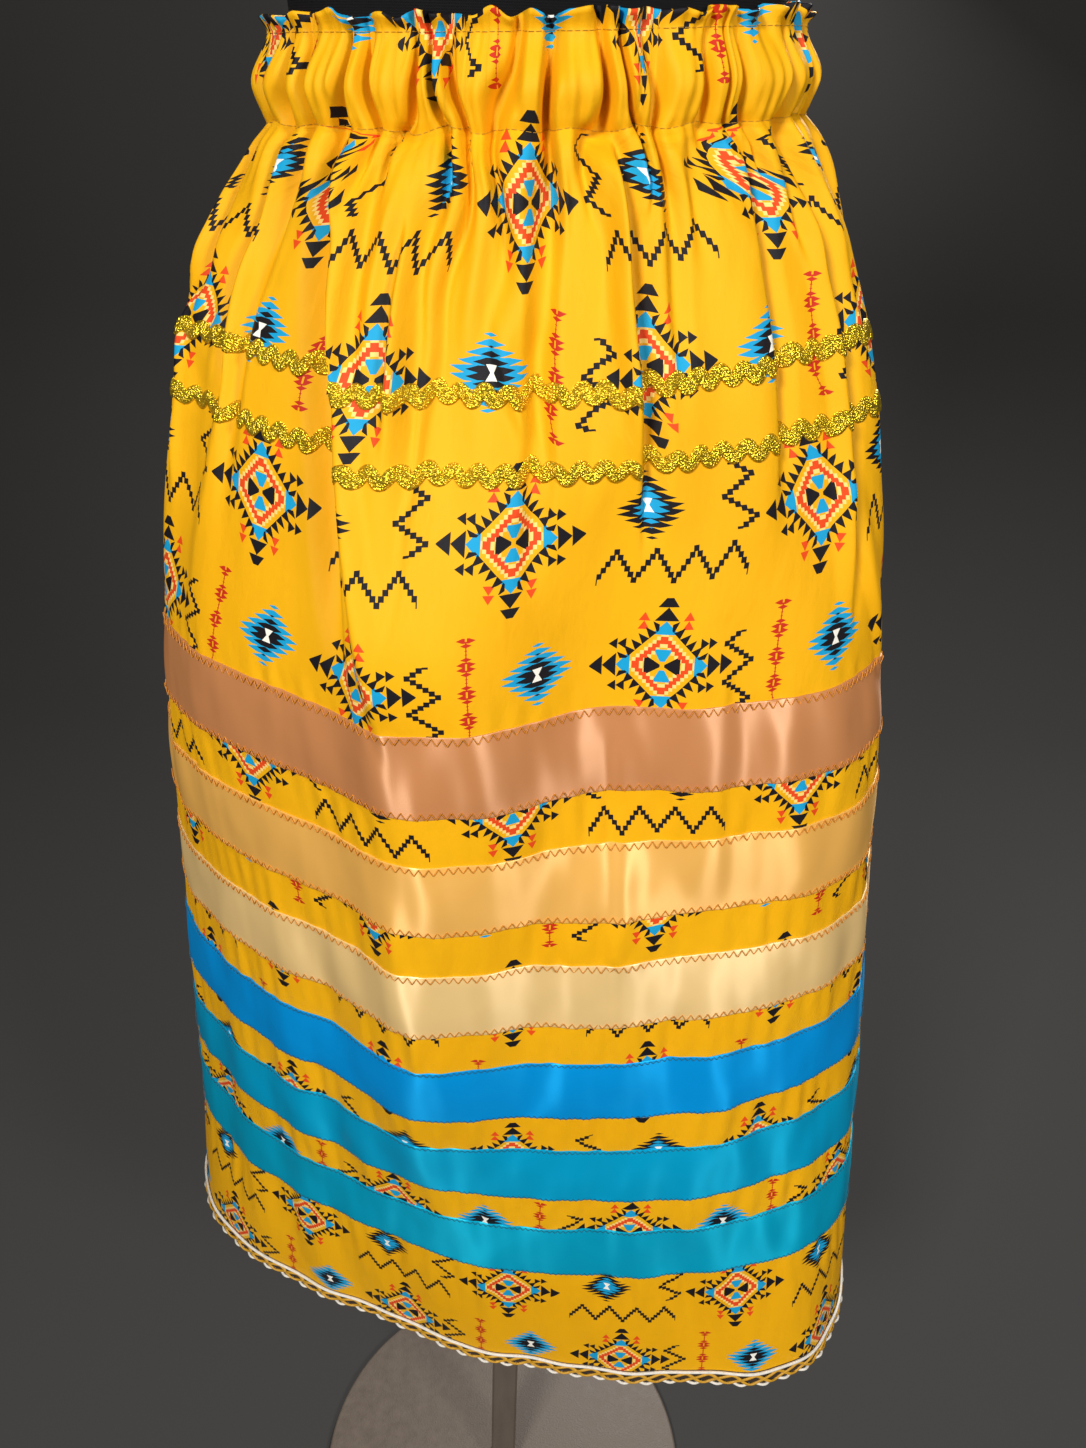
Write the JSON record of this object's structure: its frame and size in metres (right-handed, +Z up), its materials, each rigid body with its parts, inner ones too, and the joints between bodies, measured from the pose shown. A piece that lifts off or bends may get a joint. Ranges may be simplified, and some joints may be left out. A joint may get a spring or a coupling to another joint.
{
  "type": "ribbon skirt on a dress form",
  "caption": "Gathered A-line ribbon skirt of printed cotton with satin ribbon bands, gold ric-rac and a braided hem, on a limbless dress form with a stand.",
  "frame": {"origin": "centre of the stand base's underside, on the floor, on the pole's axis", "axes": "+Z up along the pole, the skirt's front faces -Y, +X to the right of someone looking at the front"},
  "size_m": [0.5659, 0.38, 1.7923],
  "materials": {
    "printed_cotton": "printed plain-weave cotton, soft matt",
    "gold_ricrac": "metallic gold thread braid",
    "satin_copper": "polyester satin ribbon, soft gloss",
    "satin_apricot": "polyester satin ribbon, soft gloss",
    "satin_cream": "polyester satin ribbon, soft gloss",
    "satin_blue": "polyester satin ribbon, soft gloss",
    "satin_turquoise": "polyester satin ribbon, soft gloss",
    "satin_teal": "polyester satin ribbon, soft gloss",
    "white_binding": "white cord binding",
    "gold_braid": "gold looped braid",
    "form_cloth": "black jersey cover",
    "stand_paint": "brown-grey satin paint"
  },
  "bodies": {
    "root": {"skirt_front": "printed_cotton", "skirt_back": "printed_cotton", "waistband": "printed_cotton", "ricrac_upper": "gold_ricrac", "ricrac_lower": "gold_ricrac", "ribbon_copper": "satin_copper", "ribbon_apricot": "satin_apricot", "ribbon_cream": "satin_cream", "ribbon_blue": "satin_blue", "ribbon_turquoise": "satin_turquoise", "ribbon_teal": "satin_teal", "hem_binding": "white_binding", "hem_braid": "gold_braid", "form_torso": "form_cloth", "form_neck_cap": "stand_paint", "form_foot_plate": "stand_paint", "stand_pole": "stand_paint", "stand_base": "stand_paint"}
  },
  "joints": []
}
